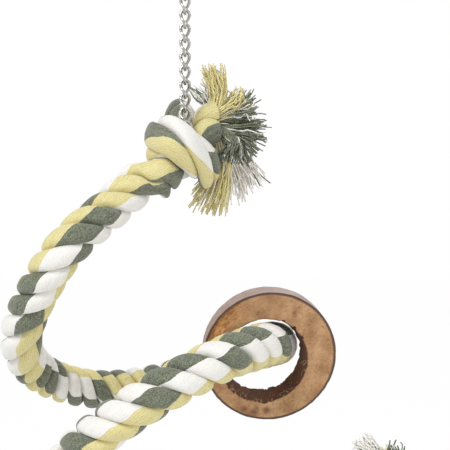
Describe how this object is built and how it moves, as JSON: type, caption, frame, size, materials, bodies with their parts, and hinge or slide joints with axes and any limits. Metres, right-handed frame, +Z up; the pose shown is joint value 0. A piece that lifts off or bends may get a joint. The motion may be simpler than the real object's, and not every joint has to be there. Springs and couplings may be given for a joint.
{
  "type": "bird perch",
  "caption": "Hanging spiral rope perch for cage birds with knotted, frayed ends, a steel chain and quick link, and a loose wooden ring.",
  "frame": {"origin": "seat inside the top bow of the quick link, where the cage bar lies", "axes": "+Z up along the chain; the spiral's axis is upright; -Y is the side that the picture shows"},
  "size_m": [0.2195, 0.1481, 0.3548],
  "materials": {
    "steel": "bright nickel plate",
    "galvanised_wire": "dull zinc",
    "cotton_rope": "soft matt cotton, three colours laid together",
    "yarn_white": "frayed matt cotton",
    "yarn_green": "frayed matt cotton",
    "yarn_yellow": "frayed matt cotton",
    "branch_wood": "sawn end grain, unfinished",
    "bark": "smooth natural bark"
  },
  "bodies": {
    "hanger": {"quick_link": "steel"},
    "nut": {"sleeve_nut": "steel"},
    "link_01": {"link_01": "steel"},
    "link_02": {"link_02": "steel"},
    "link_03": {"link_03": "steel"},
    "link_04": {"link_04": "steel"},
    "link_05": {"link_05": "steel"},
    "link_06": {"link_06": "steel"},
    "link_07": {"link_07": "steel"},
    "link_08": {"link_08": "steel"},
    "link_09": {"link_09": "steel"},
    "link_10": {"link_10": "steel"},
    "link_11": {"link_11": "steel"},
    "link_12": {"link_12": "steel"},
    "perch": {"link_13": "steel", "core_wire": "galvanised_wire", "rope_spiral": "cotton_rope", "top_knot": "cotton_rope", "bottom_knot": "cotton_rope", "top_tassel_white": "yarn_white", "top_tassel_green": "yarn_green", "top_tassel_yellow": "yarn_yellow", "bottom_tassel_white": "yarn_white", "bottom_tassel_green": "yarn_green", "bottom_tassel_yellow": "yarn_yellow"},
    "ring": {"wood_ring": "branch_wood", "bark_rim": "bark"}
  },
  "joints": [
    {"name": "nut_slide", "type": "slide", "parent": "hanger", "child": "nut", "axis": [0, 0, 1], "range_m": [0, 0.0053]},
    {"name": "link_01_swing", "type": "hinge", "parent": "hanger", "child": "link_01", "pos_m": [0, 0, -0.02515], "axis": [0, 1, 0], "range_deg": [-30, 30]},
    {"name": "link_02_swing", "type": "hinge", "parent": "link_01", "child": "link_02", "pos_m": [0, 0, -0.03], "axis": [1, 0, 0], "range_deg": [-30, 30]},
    {"name": "link_03_swing", "type": "hinge", "parent": "link_02", "child": "link_03", "pos_m": [0, 0, -0.03885], "axis": [0, -1, 0], "range_deg": [-30, 30]},
    {"name": "link_04_swing", "type": "hinge", "parent": "link_03", "child": "link_04", "pos_m": [0, 0, -0.044], "axis": [-1, 0, 0], "range_deg": [-30, 30]},
    {"name": "link_05_swing", "type": "hinge", "parent": "link_04", "child": "link_05", "pos_m": [0, 0, -0.05285], "axis": [0, 1, 0], "range_deg": [-30, 30]},
    {"name": "link_06_swing", "type": "hinge", "parent": "link_05", "child": "link_06", "pos_m": [0, 0, -0.058], "axis": [1, 0, 0], "range_deg": [-30, 30]},
    {"name": "link_07_swing", "type": "hinge", "parent": "link_06", "child": "link_07", "pos_m": [0, 0, -0.06685], "axis": [0, -1, 0], "range_deg": [-30, 30]},
    {"name": "link_08_swing", "type": "hinge", "parent": "link_07", "child": "link_08", "pos_m": [0, 0, -0.072], "axis": [-1, 0, 0], "range_deg": [-30, 30]},
    {"name": "link_09_swing", "type": "hinge", "parent": "link_08", "child": "link_09", "pos_m": [0, 0, -0.08085], "axis": [0, 1, 0], "range_deg": [-30, 30]},
    {"name": "link_10_swing", "type": "hinge", "parent": "link_09", "child": "link_10", "pos_m": [0, 0, -0.086], "axis": [1, 0, 0], "range_deg": [-30, 30]},
    {"name": "link_11_swing", "type": "hinge", "parent": "link_10", "child": "link_11", "pos_m": [0, 0, -0.09485], "axis": [0, -1, 0], "range_deg": [-30, 30]},
    {"name": "link_12_swing", "type": "hinge", "parent": "link_11", "child": "link_12", "pos_m": [0, 0, -0.1], "axis": [-1, 0, 0], "range_deg": [-30, 30]},
    {"name": "perch_swing", "type": "hinge", "parent": "link_12", "child": "perch", "pos_m": [0, 0, -0.10885], "axis": [0, 1, 0], "range_deg": [-20, 20]},
    {"name": "ring_swing", "type": "hinge", "parent": "perch", "child": "ring", "pos_m": [0.04243, -0.02224, -0.22246], "axis": [-0.3306, -0.9412, 0.0695], "range_deg": [-35, 35]}
  ]
}
